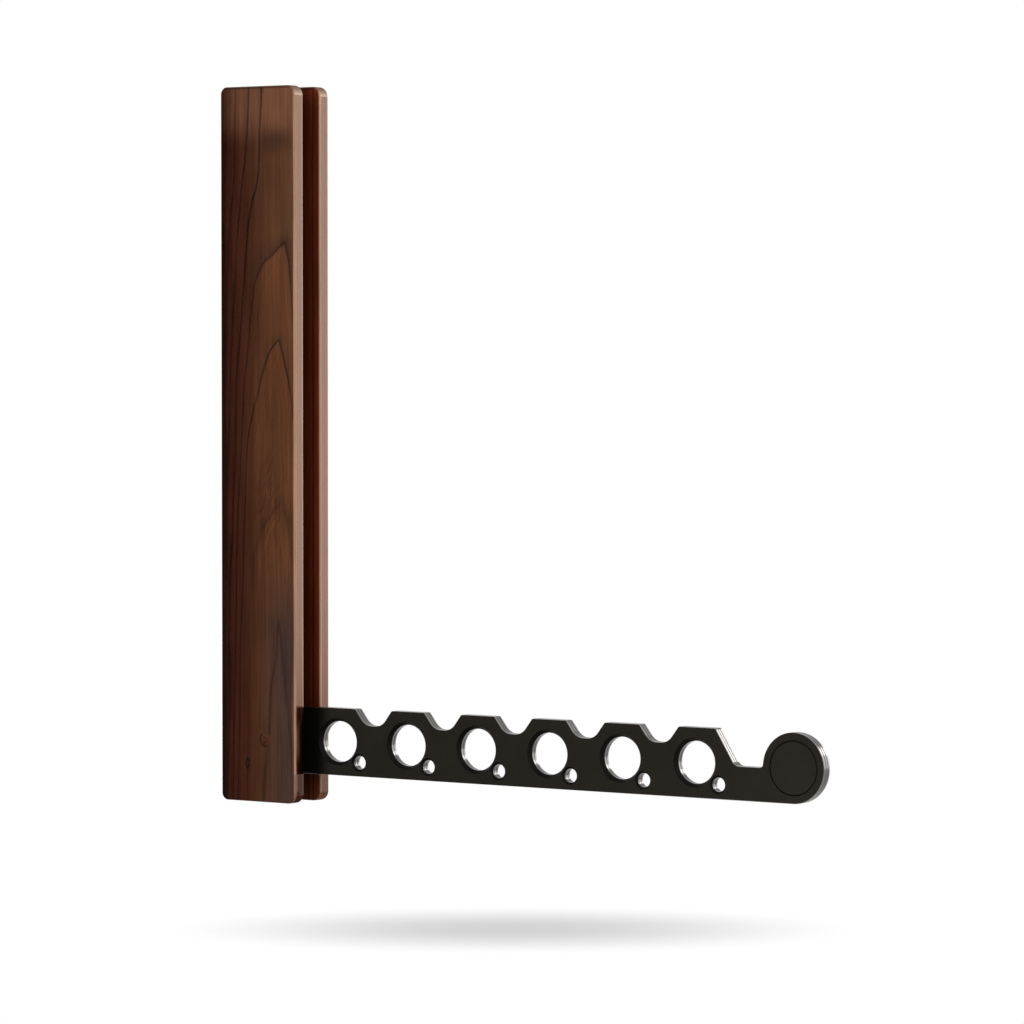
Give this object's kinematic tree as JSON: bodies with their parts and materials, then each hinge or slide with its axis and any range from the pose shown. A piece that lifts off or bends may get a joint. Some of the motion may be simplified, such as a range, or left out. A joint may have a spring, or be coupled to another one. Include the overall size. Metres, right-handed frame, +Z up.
{
  "type": "wall mounted clothes valet",
  "caption": "Slim walnut wall body with a black notched arm that swings down on a pivot to hold clothes hangers and folds up into the body's slot.",
  "frame": {"origin": "on the wall face, midway across the body, level with the arm's pivot", "axes": "+Z up, -Y out from the wall along the unfolded arm, +X across the slot; +Y into the wall"},
  "size_m": [0.0316, 0.3867, 0.4],
  "materials": {
    "walnut": "dark walnut, satin lacquer",
    "walnut_plug": "dark walnut, end of a plug, satin lacquer",
    "beech": "plain beech dowel",
    "black_arm": "satin black faces with bright edges",
    "black_cap": "satin black",
    "steel": "zinc plated",
    "bronze": "sintered bronze",
    "nylon": "natural nylon",
    "rubber": "soft rubber",
    "magnet": "nickel plated"
  },
  "bodies": {
    "wall_body": {"left_cheek": "walnut", "right_cheek": "walnut", "spine": "walnut", "cheek_dowels": "beech", "wall_screw_cups": "steel", "left_bushing": "bronze", "right_bushing": "bronze", "left_washer": "nylon", "right_washer": "nylon", "pivot_pin": "steel", "left_plug": "walnut_plug", "right_plug": "walnut_plug", "stop_plate": "steel", "stop_screws": "steel", "keeper_plate": "steel", "keeper_screw": "steel", "fold_bumpers": "rubber"},
    "swing_arm": {"arm": "black_arm", "arm_sleeve": "bronze", "left_tip_cap": "black_cap", "right_tip_cap": "black_cap", "tip_magnet": "magnet"}
  },
  "joints": [
    {"name": "arm_fold", "type": "hinge", "parent": "wall_body", "child": "swing_arm", "pos_m": [0, -0.031, 0], "axis": [-1, 0, 0], "range_deg": [0, 90]}
  ]
}
